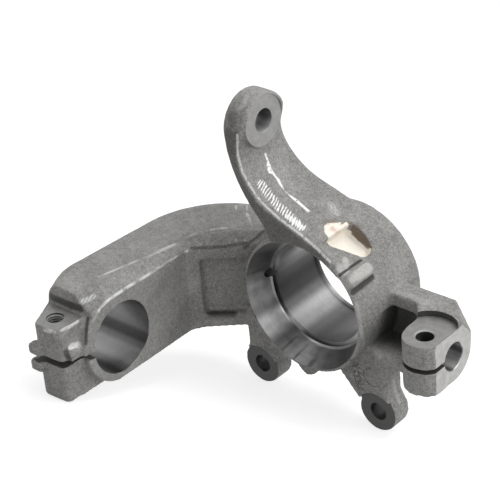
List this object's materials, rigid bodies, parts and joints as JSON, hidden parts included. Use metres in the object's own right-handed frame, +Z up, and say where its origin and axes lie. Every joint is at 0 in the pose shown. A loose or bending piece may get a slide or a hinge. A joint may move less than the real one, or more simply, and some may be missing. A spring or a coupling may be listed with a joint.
{
  "type": "steering knuckle",
  "caption": "One-piece cast steering knuckle: wheel-bearing hub, arched arm with a split strut clamp, steering arm, ball-joint pinch clamp and lugs for a brake caliper.",
  "frame": {"origin": "centre of the wheel-bearing bore", "axes": "+X along the ball-stud bore, away from the strut clamp (down on the car); the bearing axis lies in the YZ plane, 18 degrees off Y, and +Z is up for the part as it lies on its two brake lugs and the strut clamp"},
  "size_m": [0.2408, 0.2042, 0.2136],
  "materials": {
    "cast_iron": "sand-cast, with machined bores and faces"
  },
  "bodies": {
    "root": {"knuckle_casting": "cast_iron"}
  },
  "joints": []
}
